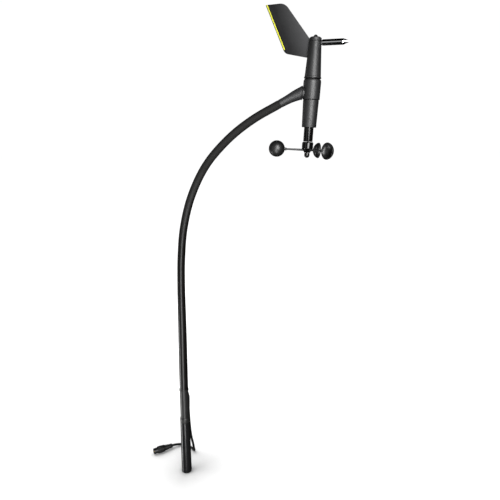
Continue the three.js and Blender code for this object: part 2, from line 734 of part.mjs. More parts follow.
function couplingNut() {
  const outline = [];
  for (let i = 0; i < NUT_TEETH * 4; i += 1) {
    const t = 2 * Math.PI * i / (NUT_TEETH * 4);
    const r = i % 4 < 2 ? NUT_R : NUT_VALLEY_R;
    outline.push(new THREE.Vector2(r * Math.cos(t), r * Math.sin(t)));
  }
  const toothed = new THREE.Shape(outline);
  const knurl = new THREE.ExtrudeGeometry(toothed, { depth: NUT_LENGTH, bevelEnabled: false });
  const nose = disc(NOSE_R, NUT_START + NUT_LENGTH - 0.9, NOSE_END, 24);
  const bore = disc(PLUG_CORE_R + 0.4, NUT_START - 1, PLUG_CORE_END + 2.2, 24);
  const mouth = disc(NOSE_MOUTH_R, PLUG_CORE_END, NOSE_END + 1, 24);
  const nut = toSolid(knurl.translate(0, 0, NUT_START)).add(toSolid(nose)).subtract(toSolid(bore));
  return alongX(toGeometry(nut.subtract(toSolid(mouth))));
}

function plugInsert() {
  return alongX(disc(PLUG_INSERT_R, PLUG_CORE_END + GAP, PLUG_INSERT_END));
}

function plugPin(i) {
  const t = 2 * Math.PI * (i + 0.5) / PLUG_PINS;
  const pin = disc(0.5, PLUG_INSERT_END + GAP, PLUG_PIN_END, 8);
  return alongX(pin.translate(PLUG_PIN_CIRCLE * Math.cos(t), PLUG_PIN_CIRCLE * Math.sin(t), 0));
}

// ---------- electronics ----------

function sensorChip(centre) {
  return new THREE.BoxGeometry(CHIP_SIZE, CHIP_SIZE, CHIP_THICK).translate(0, 0, centre);
}

// The pin header that joins the two boards.
function boardHeader() {
  const bottom = ROTOR_BOARD_FROM + BOARD_THICK + GAP;
  const top = VANE_BOARD_FROM - GAP;
  return new THREE.BoxGeometry(10, 2.6, top - bottom).translate(0, HEADER_SIDE, (bottom + top) / 2);
}

// ---------- assembly ----------

const anemometer = new THREE.Group();

anemometer.add(
  piece('spigot', spigot(), 'anodised'),
  piece('spigot_collar', spigotCollar(), 'sleeve'),
  piece('base_sleeve', sleeve(), 'sleeve'),
  piece('cable_gland', cableGland(), 'rubber'),
  piece('spar_tube', sparTube(), 'carbon'),
  piece('neck_moulding', neckMoulding(), 'housing'),
  piece('inner_cable', innerCable(), 'rubber'),
  piece('signal_cable', tube(CABLE_ROUTE, CABLE_R, CABLE_SIDES, CABLE_STEPS), 'rubber'),
);

const head = new THREE.Group();
head.position.set(...HEAD_CENTRE);
head.rotation.y = HEAD_LEAN;
head.add(
  piece('neck_seal', neckSeal(), 'rubber'),
  piece('lower_housing', lowerHousing(), 'housing'),
  piece('housing_seal', housingSeal(), 'rubber'),
  piece('middle_housing', middleHousing(), 'housing'),
  piece('rotor_bearing_tube', bearingCarrier(TUBE_R, TUBE_BOTTOM, TUBE_TOP, 9.5, 41.4, 44.4), 'gloss'),
  piece('rotor_bearing_lower', bearing(TUBE_BOTTOM + BEARING_INSET, SHAFT_HOLE_R), 'steel'),
  piece('rotor_bearing_upper', bearing(TUBE_TOP - BEARING_INSET - BEARING_WIDTH, SHAFT_HOLE_R), 'steel'),
  piece('rotor_sensor_chip', sensorChip(ROTOR_BOARD_FROM - GAP - CHIP_THICK / 2), 'chip'),
  piece('rotor_sensor_board', disc(10.3, ROTOR_BOARD_FROM, ROTOR_BOARD_FROM + BOARD_THICK), 'board'),
  piece('board_header', boardHeader(), 'chip'),
  piece('vane_sensor_board', disc(11.8, VANE_BOARD_FROM, VANE_BOARD_FROM + BOARD_THICK), 'board'),
  piece('vane_sensor_chip', sensorChip(VANE_BOARD_FROM + BOARD_THICK + GAP + CHIP_THICK / 2), 'chip'),
  piece('vane_bearing_post', bearingCarrier(
    POST_R, POST_BOTTOM, POST_TOP, POST_FLANGE_R, POST_BOTTOM + 1.6, POST_BOTTOM + 5.6,
  ), 'housing'),
  piece('vane_bearing_lower', bearing(POST_BOTTOM + BEARING_INSET, BEARING_BORE_R), 'steel'),
  piece('vane_bearing_upper', bearing(POST_TOP - BEARING_INSET - BEARING_WIDTH, BEARING_BORE_R), 'steel'),
);
anemometer.add(head);

const rotor = new THREE.Group();
rotor.add(
  piece('rotor_hub', rotorHub(), 'gloss'),
  piece('rotor_tip_nut', tipNut(), 'gloss'),
  piece('rotor_shaft', disc(SHAFT_R, -10.6, 66.2, 16), 'steel'),
  piece('rotor_magnet_holder', magnetHolder(SHAFT_R).rotateX(Math.PI).translate(0, 0, 69.9), 'chip'),
  piece('rotor_magnet', disc(MAGNET_R, 67.8, 69.6, 20), 'magnet'),
);
for (let i = 0; i < CUP_COUNT; i += 1) {
  const arm = new THREE.Group();
  arm.rotation.z = armAngle(i);
  arm.add(
    piece(`cup_arm_${i + 1}`, cupArm(), 'arm'),
    piece(`cup_${i + 1}`, cup(), 'gloss'),
  );
  rotor.add(arm);
}
head.add(rotor);

const vane = new THREE.Group();
vane.rotation.z = VANE_YAW;
vane.add(
  piece('vane_body', vaneBody(), 'housing'),
  piece('vane_cap', vaneCap(), 'housing'),
  piece('vane_cap_nut', capNut(), 'gloss'),
  piece('vane_blade', vaneBlade(), 'vane'),
  piece('vane_counterweight', counterweight(), 'steel'),
  piece('vane_spindle', disc(SPINDLE_R, 93.7, CAP_TOP + GAP + 1.9, 16), 'steel'),
  piece('vane_magnet_holder', magnetHolder(SPINDLE_R).translate(0, 0, 90), 'chip'),
  piece('vane_magnet', disc(MAGNET_R, 90.2, 92.1, 20), 'magnet'),
);
head.add(vane);

const plug = new THREE.Group();
plug.position.set(...PLUG_REAR);
plug.rotation.z = PLUG_TURN;
plug.add(
  piece('plug_grip', plugGrip(), 'rubber'),
  piece('plug_insert', plugInsert(), 'chip'),
  piece('plug_coupling_nut', couplingNut(), 'gloss'),
);
for (let i = 0; i < PLUG_PINS; i += 1) {
  plug.add(piece(`plug_pin_${i + 1}`, plugPin(i), 'brass'));
}
anemometer.add(plug);

export default anemometer;
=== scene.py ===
import json
import math

import bmesh
import bpy
import numpy as np
from mathutils import Matrix, Vector


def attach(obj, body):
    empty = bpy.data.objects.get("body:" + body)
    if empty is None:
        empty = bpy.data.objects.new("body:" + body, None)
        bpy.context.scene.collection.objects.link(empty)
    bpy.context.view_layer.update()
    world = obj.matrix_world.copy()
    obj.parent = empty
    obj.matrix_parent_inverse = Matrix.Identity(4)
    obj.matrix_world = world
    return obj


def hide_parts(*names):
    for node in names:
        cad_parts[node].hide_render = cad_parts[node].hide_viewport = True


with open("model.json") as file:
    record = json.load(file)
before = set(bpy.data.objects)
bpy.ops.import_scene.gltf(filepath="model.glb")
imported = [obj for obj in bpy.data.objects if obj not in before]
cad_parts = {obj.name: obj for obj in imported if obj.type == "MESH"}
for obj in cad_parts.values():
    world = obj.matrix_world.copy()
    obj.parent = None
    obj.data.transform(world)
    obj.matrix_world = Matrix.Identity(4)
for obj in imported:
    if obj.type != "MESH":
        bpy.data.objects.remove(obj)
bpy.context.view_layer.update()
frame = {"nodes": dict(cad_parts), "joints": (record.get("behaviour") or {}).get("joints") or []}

# The masthead cup anemometer with its wind vane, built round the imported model.
# Shapes, their constants and the blade's print are in millimetres, with profiles in the frame of
# their own piece. The camera, the stage and the lights are in metres.

MM = 0.001
GAP = 0.3


# ---------- camera ----------

CAMERA_AT = (0.1274, -0.8, 0.64)
CAMERA_DOWN = 12.96
CAMERA_LENS = 32.95


def make_camera():
    data = bpy.data.cameras.new("camera")
    data.lens = CAMERA_LENS
    data.sensor_width = 36
    data.clip_start = 0.01
    data.clip_end = 100
    camera = bpy.data.objects.new("camera", data)
    camera.location = CAMERA_AT
    camera.rotation_euler = (math.radians(90 - CAMERA_DOWN), 0, 0)
    bpy.context.scene.collection.objects.link(camera)
    bpy.context.scene.camera = camera


make_camera()


# ---------- frames ----------

JOINTS = {joint["name"]: joint for joint in frame["joints"]}


def frame_from(origin, x, y, z):
    """A frame from its origin and its three unit directions."""
    rows = zip(x, y, z, origin)
    return Matrix([*rows, (0, 0, 0, 1)])


def joint_frame(name, level):
    """A frame whose Z is a joint's axis and whose Y is the given direction."""
    joint = JOINTS[name]
    z = Vector(joint["axis"]).normalized()
    y = Vector(level)
    return frame_from(joint["pos_m"], y.cross(z), y, z)


def turned_to(base, node):
    """The base frame turned about its Z until its X points at a node."""
    corners = frame["nodes"][node].data.vertices
    middle = sum((v.co for v in corners), Vector()) / len(corners)
    local = base.inverted() @ middle
    return base @ Matrix.Rotation(math.atan2(local.y, local.x), 4, "Z")


ROW = Matrix.Identity(4)
HEAD = joint_frame("vane_swing", (0, 1, 0))
VANE = turned_to(HEAD, "vane_counterweight")
PLUG_AXIS = JOINTS["plug_nut_turn"]["axis"]
PLUG = joint_frame("plug_nut_turn", (-PLUG_AXIS[1], PLUG_AXIS[0], 0))
ALONG_X = Matrix.Rotation(math.radians(90), 4, "Y")


# ---------- finishes ----------


def linear(value):
    """One sRGB channel, 0 to 255, as a linear value."""
    v = value / 255
    return v / 12.92 if v <= 0.04045 else ((v + 0.055) / 1.055) ** 2.4


def colour(*rgb):
    return (*[linear(v) for v in rgb], 1)


class Nodes:
    """A material's node tree, with short calls to add and join nodes."""

    def __init__(self, name):
        self.material = bpy.data.materials.new(name)
        self.material.use_nodes = True
        self.tree = self.material.node_tree
        self.tree.nodes.clear()

    def add(self, kind, **settings):
        node = self.tree.nodes.new(kind)
        for key, value in settings.items():
            setattr(node, key, value)
        return node

    def join(self, source, target):
        self.tree.links.new(source, target)

    def noise(self, place, scale, detail=3.0):
        node = self.add("ShaderNodeTexNoise")
        node.inputs["Scale"].default_value = scale
        node.inputs["Detail"].default_value = detail
        self.join(place, node.inputs["Vector"])
        return node.outputs["Fac"]

    def ranged(self, value, start, end, low=0.0, high=1.0):
        node = self.add("ShaderNodeMapRange")
        for key, number in zip(("From Min", "From Max", "To Min", "To Max"), (start, end, low, high)):
            node.inputs[key].default_value = number
        self.join(value, node.inputs["Value"])
        return node.outputs["Result"]

    def maths(self, operation, first, second):
        node = self.add("ShaderNodeMath", operation=operation)
        for socket, value in zip(node.inputs, (first, second)):
            if isinstance(value, (int, float)):
                socket.default_value = value
            else:
                self.join(value, socket)
        return node.outputs["Value"]

    def mixed(self, factor, first, second):
        """A colour between two, each a constant or a socket."""
        node = self.add("ShaderNodeMix", data_type="RGBA")
        self.join(factor, node.inputs["Factor"])
        for socket, value in zip((node.inputs[6], node.inputs[7]), (first, second)):
            if isinstance(value, tuple):
                socket.default_value = value
            else:
                self.join(value, socket)
        return node.outputs[2]

    def dotted(self, place, direction):
        node = self.add("ShaderNodeVectorMath", operation="DOT_PRODUCT")
        self.join(place, node.inputs[0])
        node.inputs[1].default_value = direction
        return node.outputs["Value"]


WORN_BETWEEN = (0.56, 0.66)  # how pointed an edge is, between unworn and fully worn
WORN_LIGHTER = 60
IOR = 1.5


def make_finish(name, dark, light, rough, metal=0.0, patch=60, grain=2500, depth=0.02,
                stretch=(1, 1, 1), wear=0.0, specular=0.5):
    """A procedural finish: two tones in soft patches, uneven gloss, fine grain and worn edges."""
    nodes = Nodes(name)
    shader = nodes.add("ShaderNodeBsdfPrincipled")
    shader.inputs["Metallic"].default_value = metal
    shader.inputs["IOR"].default_value = IOR
    shader.inputs["Specular IOR Level"].default_value = specular
    output = nodes.add("ShaderNodeOutputMaterial")
    nodes.join(shader.outputs["BSDF"], output.inputs["Surface"])
    coordinates = nodes.add("ShaderNodeTexCoord")
    mapping = nodes.add("ShaderNodeMapping")
    mapping.inputs["Scale"].default_value = stretch
    nodes.join(coordinates.outputs["Object"], mapping.inputs["Vector"])
    place = mapping.outputs["Vector"]
    patches = nodes.ranged(nodes.noise(place, patch), 0.35, 0.65)
    tone = nodes.mixed(patches, colour(*dark), colour(*light))
    if wear:
        point = nodes.add("ShaderNodeNewGeometry").outputs["Pointiness"]
        edges = nodes.ranged(point, *WORN_BETWEEN, 0, wear)
        broken = nodes.maths("MULTIPLY", edges, nodes.ranged(nodes.noise(place, patch * 9), 0.4, 0.6))
        tone = nodes.mixed(broken, tone, colour(*[min(255, v + WORN_LIGHTER) for v in light]))
    nodes.join(tone, shader.inputs["Base Color"])
    gloss = nodes.noise(place, patch * 4, 2)
    nodes.rough = nodes.ranged(gloss, 0.3, 0.7, *rough)
    nodes.join(nodes.rough, shader.inputs["Roughness"])
    bump = nodes.add("ShaderNodeBump")
    bump.inputs["Strength"].default_value = 1
    bump.inputs["Distance"].default_value = depth * MM
    nodes.join(nodes.noise(place, grain, 2), bump.inputs["Height"])
    nodes.join(bump.outputs["Normal"], shader.inputs["Normal"])
    nodes.shader = shader
    nodes.tone = tone
    nodes.place = coordinates.outputs["Object"]
    return nodes


FINISHES = {
    "housing_grey": make_finish("moulded_plastic", (19, 19, 20), (24, 24, 25), (0.49, 0.53), depth=0.0015,
                                wear=0.3, specular=0.9),
    "neck_grey": make_finish("neck_plastic", (36, 36, 37), (41, 41, 42), (0.48, 0.52), depth=0.0015),
    "sleeve_grey": make_finish("matte_plastic", (28, 28, 28), (33, 33, 33), (0.36, 0.44), depth=0.01),
    "spar_black": make_finish("lacquered_tube", (14, 13, 12), (18, 17, 16), (0.29, 0.32),
                              grain=1500, depth=0.0005, specular=0.4),
    "gloss_black": make_finish("gloss_plastic", (8, 8, 8), (12, 12, 12), (0.13, 0.16),
                               grain=700, depth=0.0004),
    "cup_black": make_finish("cup_plastic", (16, 16, 16), (21, 21, 21), (0.38, 0.41),
                             grain=1200, depth=0.0005, specular=0.65, wear=0.4),
    "arm_grey": make_finish("arm_plastic", (40, 40, 41), (47, 47, 48), (0.4, 0.5), depth=0.01),
    "anodised_black": make_finish("anodised_metal", (32, 32, 33), (40, 40, 41), (0.22, 0.28), metal=0.6,
                                  grain=5000, depth=0.0015, stretch=(1, 1, 0.04), wear=0.3),
    "polished_steel": make_finish("polished_steel", (196, 198, 200), (212, 213, 214), (0.08, 0.14),
                                  metal=1.0, grain=4000, depth=0.003),
    "steel": make_finish("bearing_steel", (150, 152, 155), (175, 176, 178), (0.2, 0.3), metal=1.0),
    "seal_black": make_finish("seal_rubber", (9, 9, 9), (14, 14, 14), (0.6, 0.75), depth=0.03),
    "cable_black": make_finish("cable_sheath", (10, 10, 10), (16, 16, 16), (0.38, 0.5),
                               grain=1800, depth=0.03),
    "plug_black": make_finish("plug_plastic", (14, 14, 14), (22, 22, 22), (0.3, 0.42), depth=0.03, wear=0.4),
    "chip_black": make_finish("chip_resin", (18, 18, 19), (26, 26, 27), (0.5, 0.6)),
    "board_green": make_finish("board_lacquer", (18, 66, 40), (26, 82, 50), (0.35, 0.45), patch=300),
    "magnet_grey": make_finish("plated_magnet", (140, 143, 147), (160, 162, 166), (0.25, 0.35), metal=1.0),
    "pin_brass": make_finish("brass_pin", (196, 160, 84), (212, 176, 96), (0.18, 0.26), metal=1.0),
}

DULL_BETWEEN = (0.46, 0.6)  # heights, in metres
DULL_BY = 0.5


def dulled_with_height(nodes):
    """Roughens a finish more and more between two heights, for the spar's duller upper run."""
    height = nodes.dotted(nodes.place, (0, 0, 1))
    rough = nodes.maths("ADD", nodes.rough, nodes.ranged(height, *DULL_BETWEEN, 0, DULL_BY))
    nodes.join(rough, nodes.shader.inputs["Roughness"])


dulled_with_height(FINISHES["spar_black"])


# ---------- shapes ----------


def rounded(profile, radius=0.4, steps=4, closed=False):
    """The profile with its corners rounded. A point may carry its own radius as a third number."""
    made = []
    count = len(profile)
    for i, point in enumerate(profile):
        here = Vector(point[:2])
        size = point[2] if len(point) > 2 else radius
        inner = closed or 0 < i < count - 1
        back = Vector(profile[i - 1][:2]) - here
        ahead = Vector(profile[(i + 1) % count][:2]) - here
        turn = math.pi - back.angle(ahead) if inner else 0
        if turn < 0.12 or size <= 0:
            made.append(here)
            continue
        reach = min(size * math.tan(turn / 2), 0.45 * back.length, 0.45 * ahead.length)
        start = here + back.normalized() * reach
        end = here + ahead.normalized() * reach
        for k in range(steps + 1):
            t = k / steps
            made.append(start * (1 - t) ** 2 + here * 2 * t * (1 - t) + end * t ** 2)
    return [(p.x, p.y) for p in made]


def dense(profile, step):
    """The profile with points added, so that none is further than a step from the next."""
    made = []
    for (r0, z0), (r1, z1) in zip(profile, profile[1:]):
        spans = max(1, math.ceil(math.hypot(r1 - r0, z1 - z0) / step))
        made += [(r0 + (r1 - r0) * k / spans, z0 + (z1 - z0) * k / spans) for k in range(spans)]
    return [*made, profile[-1]]


def turned(profile, sides=96, closed=False, shape=None):
    """A skin of revolution about Z. shape(radius, height, angle) may change a point's radius."""
    vertices, rings, faces = [], [], []
    for r, z in profile:
        if r < 1e-6:
            rings.append([len(vertices)])
            vertices.append((0, 0, z))
            continue
        rings.append(list(range(len(vertices), len(vertices) + sides)))
        for k in range(sides):
            a = 2 * math.pi * k / sides
            reach = shape(r, z, a) if shape else r
            vertices.append((reach * math.cos(a), reach * math.sin(a), z))
    pairs = list(zip(rings, rings[1:]))
    if closed:
        pairs.append((rings[-1], rings[0]))
    for low, high in pairs:
        faces += between(low, high, sides)
    return vertices, faces


def between(low, high, sides):
    """The faces that join two rings, either of which may be a single point."""
    faces = []
    for k in range(sides):
        n = (k + 1) % sides
        if len(low) == 1 and len(high) == 1:
            break
        if len(low) == 1:
            faces.append((low[0], high[n], high[k]))
        elif len(high) == 1:
            faces.append((low[k], low[n], high[0]))
        else:
            faces.append((low[k], low[n], high[n], high[k]))
    return faces


def swept(outer, inner, sides=64):
    """A hollow tube. Each section is (centre, up, side, tall, wide)."""
    vertices, rings, faces = [], [], []
    for centre, up, side, tall, wide in [*outer, *reversed(inner)]:
        rings.append(list(range(len(vertices), len(vertices) + sides)))
        for k in range(sides):
            a = 2 * math.pi * k / sides
            vertices.append(centre + up * tall * math.cos(a) + side * wide * math.sin(a))
    for low, high in zip(rings, [*rings[1:], rings[0]]):
        faces += between(low, high, sides)
    return vertices, faces


def block(low, high):
    """A plain box, which is only used to cut other shapes."""
    vertices = [(x, y, z) for x in (low[0], high[0]) for y in (low[1], high[1]) for z in (low[2], high[2])]
    faces = [(0, 1, 3, 2), (4, 6, 7, 5), (0, 4, 5, 1), (2, 3, 7, 6), (0, 2, 6, 4), (1, 5, 7, 3)]
    return vertices, faces


def solid(name, shape, place, finish=None):
    """An object from a shape in millimetres, placed by a frame."""
    vertices, faces = shape
    mesh = bpy.data.meshes.new(name)
    mesh.from_pydata([place @ (Vector(v) * MM) for v in vertices], [], faces)
    work = bmesh.new()
    work.from_mesh(mesh)
    bmesh.ops.recalc_face_normals(work, faces=work.faces)
    if work.calc_volume(signed=True) < 0:
        bmesh.ops.reverse_faces(work, faces=work.faces)
    work.to_mesh(mesh)
    work.free()
    obj = bpy.data.objects.new(name, mesh)
    bpy.context.scene.collection.objects.link(obj)
    if finish:
        mesh.materials.append(FINISHES[finish].material)
    return obj


def combine(obj, tool, operation):
    """Adds the tool to the object or cuts it away, and removes the tool."""
    change = obj.modifiers.new("change", "BOOLEAN")
    change.object = tool
    change.operation = operation
    change.solver = "EXACT"
    graph = bpy.context.evaluated_depsgraph_get()
    made = bpy.data.meshes.new_from_object(obj.evaluated_get(graph))
    obj.modifiers.clear()
    obj.data = made
    bpy.data.objects.remove(tool)
    return obj


def shaded(obj, angle=32):
    """Smooth shading that keeps the real edges crisp."""
    obj.data.polygons.foreach_set("use_smooth", [True] * len(obj.data.polygons))
    obj.data.set_sharp_from_angle(angle=math.radians(angle))
    return obj


def placed(obj, body, slot, *nodes):
    """The piece rides on its body and stands for its CAD nodes."""
    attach(obj, body)
    if nodes:
        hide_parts(*nodes)
    return obj


def turned_piece(name, profile, place, body, slot, nodes, closed=True, round=0.4, **how):
    """A turned piece with rounded edges, in one call."""
    shape = turned(rounded(profile, round, closed=closed), closed=closed, **how)
    obj = shaded(solid(name, shape, place, slot))
    return placed(obj, body, slot, *nodes)


# ---------- the loose cable ----------

CABLE_ROUTE = [  # from the gland's mouth to the plug's rear end, in millimetres
    (6.37, 9.09, 137.7), (6.4, 9.4, 128), (6.5, 11.1, 115), (6.5, 13.8, 102), (6.4, 17.7, 90),
    (6.3, 22.4, 78), (6.3, 27.8, 66), (6.5, 33.5, 54), (7, 39.2, 42), (7.8, 44.8, 30.5),
    (8.6, 49.4, 17), (9, 52.4, 9.6), (8.4, 56.2, 4.9), (6.2, 61, 2.8), (2.2, 66, 2.5),
    (-2.6, 70.9, 2.5), (-8, 75, 2.5), (-13.6, 77.9, 2.5), (-19.6, 78.9, 2.8), (-25.6, 77, 4.1),
    (-31, 73.45, 6.1), (-36.1, 70.44, 7.3), (-40.18, 68.18, 7.5),
]
CABLE_R = 2.4
CABLE_POINTS = 150
CABLE_TUCKED_IN = 2.5  # how far the lead runs on into the gland


def through(points, count):
    """Evenly spaced points on a smooth curve through the given points."""
    points = [np.array(p, float) for p in points]
    points = [2 * points[0] - points[1], *points, 2 * points[-1] - points[-2]]
    fine = []
    for p0, p1, p2, p3 in zip(points, points[1:], points[2:], points[3:]):
        d0, d1, d2 = (np.linalg.norm(b - a) ** 0.5 for a, b in ((p0, p1), (p1, p2), (p2, p3)))
        start = ((p1 - p0) / d0 - (p2 - p0) / (d0 + d1) + (p2 - p1) / d1) * d1
        end = ((p2 - p1) / d1 - (p3 - p1) / (d1 + d2) + (p3 - p2) / d2) * d1
        for t in np.linspace(0, 1, 24, endpoint=False):
            a = 2 * p1 - 2 * p2 + start + end
            b = -3 * p1 + 3 * p2 - 2 * start - end
            fine.append(((a * t + b) * t + start) * t + p1)
    fine = np.array([*fine, points[-2]])
    along = np.concatenate([[0], np.cumsum(np.linalg.norm(np.diff(fine, axis=0), axis=1))])
    even = np.linspace(0, along[-1], count)
    return [Vector([np.interp(d, along, fine[:, axis]) for axis in range(3)]) for d in even]


def make_cable():
    data = bpy.data.curves.new("signal_lead", "CURVE")
    data.dimensions = "3D"
    data.bevel_depth = CABLE_R * MM
    data.bevel_resolution = 5
    data.use_fill_caps = True
    spline = data.splines.new("POLY")
    route = through(CABLE_ROUTE, CABLE_POINTS)
    inside = route[0] + Vector((0, 0, CABLE_TUCKED_IN))
    points = [inside, *route]
    spline.points.add(len(points) - 1)
    for point, at in zip(spline.points, points):
        point.co = (*(at * MM), 1)
    spline.use_smooth = True
    data.materials.append(FINISHES["cable_black"].material)
    cable = bpy.data.objects.new("signal_lead", data)
    bpy.context.scene.collection.objects.link(cable)
    return placed(cable, "mast_arm", "cable_black", "signal_cable")


EXIT_TURN = math.radians(55)
GLAND_OUT = 11.1


def outwards(distance):
    """A frame beside the sleeve's axis, in the direction that the cable leaves in."""
    offset = Vector((math.cos(EXIT_TURN), math.sin(EXIT_TURN), 0)) * distance * MM
    return Matrix.Translation(offset)


def make_gland():
    profile = [
        (0, 160.5), (3, 160.5), (3, 151), (2.5, 150.4), (2.5, 149), (2.95, 148.4), (2.9, 146.6),
        (2.4, 146), (2.4, 144.6), (2.85, 144), (2.75, 142.4), (2.4, 141.8), (2.4, 140.8),
        (2.75, 140.3), (2.7, 138), (2.4, 138), (2.4, 140), (0, 140),
    ]
    return turned_piece("lead_gland", profile, outwards(GLAND_OUT), "mast_arm", "seal_black",
                        ["cable_gland"], closed=False, round=0.3, sides=48)


RIB_COUNT = 3
NUT_TEETH = 16
NUT_R = 7.3
NUT_VALLEY_R = 6.9
TOOTH_STEEPNESS = 2.6


def make_plug():
    ribs = []
    for i in range(RIB_COUNT):
        x = 4 + 4 * i
        r = 4.6 + 0.55 * i
        ribs += [(r, x), (r, x + 1.9), (r - 0.7, x + 2.1), (r - 0.6, x + 3.8)]
    grip = [
        (2.5, 0.4), (3.6, 0), (4.3, 0.8), (4.4, 3.8), *ribs, (6.4, 16.2), (6.9, 19), (7.1, 22.5),
        (5.1, 22.5), (5.1, 36), (0, 36),
    ]
    made = [turned_piece("plug_body", [(0, 0.4), *grip], PLUG, "mast_arm", "plug_black", ["plug_grip"],
                         closed=False, round=0.35, sides=72)]
    made.append(turned_piece("plug_face", [(0, 36.3), (4.5, 36.3), (4.5, 37.3), (0, 37.3)], PLUG, "mast_arm",
                             "chip_black", ["plug_insert"], closed=False, round=0.2, sides=64))
    made.append(make_coupling_nut())
    return [*made, *make_pins()]


def knurled(radius, height, angle):
    """The radius of the nut's grip, which has rounded teeth where the profile is wide enough."""
    if radius < NUT_VALLEY_R - 0.1:
        return radius
    wave = math.sin(NUT_TEETH * angle)
    tooth = 0.5 + 0.5 * math.tanh(TOOTH_STEEPNESS * wave) / math.tanh(TOOTH_STEEPNESS)
    return radius - (NUT_R - NUT_VALLEY_R) * (1 - tooth)


def make_coupling_nut():
    profile = [
        (5.5, 22.9), (NUT_VALLEY_R, 22.9), (NUT_R, 23.5), (NUT_R, 31.3), (NUT_VALLEY_R, 31.9),
        (5.8, 31.9), (5.8, 40.5), (4.9, 40.5), (4.9, 38.2), (5.5, 38.2),
    ]
    return turned_piece("plug_nut", profile, PLUG, "plug_nut", "plug_black", ["plug_coupling_nut"],
                        round=0.25, sides=NUT_TEETH * 12, shape=knurled)


PIN_COUNT = 5
PIN_CIRCLE = 2.6


def make_pins():
    pins = []
    for i in range(PIN_COUNT):
        turn = 2 * math.pi * (i + 0.5) / PIN_COUNT
        at = Vector((PIN_CIRCLE * math.cos(turn), PIN_CIRCLE * math.sin(turn), 0)) * MM
        profile = [(0, 37.6), (0.5, 37.6), (0.5, 40.2), (0, 40.2)]
        pins.append(turned_piece(f"contact_{i + 1}", profile, PLUG @ Matrix.Translation(at), "mast_arm",
                                 "pin_brass", [f"plug_pin_{i + 1}"], closed=False, round=0.3, sides=24))
    return pins


cable = make_cable()
gland = make_gland()
plug = make_plug()


# ---------- foot ----------


def make_spigot():
    profile = [
        (0, 0), (9.9, 0, 2.5), (9.3, 110.4, 0.4), (8.7, 111, 0.3), (5.8, 111, 0.2), (5.8, 141, 0.3),
        (0, 141),
    ]
    shape = turned(rounded(profile, 0.3, steps=8))
    obj = shaded(solid("foot_spigot", shape, ROW, "anodised_black"))
    return placed(obj, "mast_arm", "anodised_black", "spigot")


def make_collar():
    profile = [(6.1, 111.3), (9.4, 111.3), (9.4, 119.6), (8.5, 121.6), (6.1, 121.6)]
    return turned_piece("foot_collar", profile, ROW, "mast_arm", "sleeve_grey", ["spigot_collar"],
                        round=0.35)


BULGE_OUT = 7.2
BULGE_WIDE = 5.4
BULGE_TALL = 14
BULGE_AT = 160
BULGE_BLEND = 1.2


def smooth_max(a, b, blend):
    """The larger of two values, with a rounded change between them."""
    mix = max(blend - abs(a - b), 0) / blend
    return max(a, b) + mix * mix * blend / 4


def with_bulge(radius, height, angle):
    """The sleeve's radius with the rounded exit for the cable."""
    level = (height - BULGE_AT) / BULGE_TALL
    if radius < 8 or abs(level) >= 1:
        return radius
    wide = BULGE_WIDE * math.sqrt(1 - level * level)
    off = angle - EXIT_TURN
    across = BULGE_OUT * math.sin(off)
    if math.cos(off) <= 0 or wide <= abs(across):
        return radius
    reach = BULGE_OUT * math.cos(off) + math.sqrt(wide * wide - across * across)
    return smooth_max(radius, reach, BULGE_BLEND)


def make_sleeve():
    profile = rounded([
        (6.2, 121.9), (8.4, 121.9), (8.4, 177.6), (8.9, 178.2), (8.9, 182), (5.6, 182), (5.6, 197),
        (2.6, 197), (2.6, 168), (2.6, 142), (6.2, 142),
    ], 0.3, closed=True)
    shape = turned(dense([*profile, profile[0]], 0.9)[:-1], sides=144, closed=True, shape=with_bulge)
    obj = shaded(solid("foot_sleeve", shape, ROW, "sleeve_grey"))
    return placed(obj, "mast_arm", "sleeve_grey", "base_sleeve")


make_spigot()
make_collar()
make_sleeve()


# ---------- spar and neck ----------

SPAR_LINE = [  # centre line, as (x, z)
    (0, 182.3), (0.5, 240), (1.2, 310), (1.9, 395), (3.9, 443), (9.8, 496), (24.9, 552),
    (52.2, 606), (92, 650.6), (131.8, 681), (176.5, 706),
]
SPAR_FOOT_R = 8.2
SPAR_HEAD_R = 6.95
SPAR_TAPER = (210, 450)
SPAR_WALL = 2
SPAR_SECTIONS = 160


def spar_radius(height):
    low, high = SPAR_TAPER
    return SPAR_FOOT_R + (SPAR_HEAD_R - SPAR_FOOT_R) * smooth((height - low) / (high - low))


def sections_along(points, radii_tall, radii_wide, final_up=None):
    """Round or oval sections on a line in the XZ plane."""
    made = []
    side = Vector((0, 1, 0))
    for i, centre in enumerate(points):
        ahead = (points[min(i + 1, len(points) - 1)] - points[max(i - 1, 0)]).normalized()
        up = ahead.cross(side).normalized()
        if final_up:
            share = smooth((i / (len(points) - 1) - 0.55) / 0.45)
            up = up.lerp(final_up, share).normalized()
        made.append((centre, up, side, radii_tall[i], radii_wide[i]))
    return made


def smooth(value):
    t = min(max(value, 0), 1)
    return t * t * (3 - 2 * t)


def make_spar():
    points = through([(x, 0, z) for x, z in SPAR_LINE], SPAR_SECTIONS)
    radii = [spar_radius(point.z) for point in points]
    thin = [r - SPAR_WALL for r in radii]
    shape = swept(sections_along(points, radii, radii), sections_along(points, thin, thin), sides=72)
    obj = shaded(solid("mast_spar", shape, ROW, "spar_black"))
    return placed(obj, "mast_arm", "spar_black", "spar_tube")


NECK_LEVEL = 92
NECK_FACE = 17.3
NECK_TALL = 11.2
NECK_WIDE = 9.8
NECK_FLARE = 2.4
NECK_SECTIONS = 56
NECK_BORE = 3


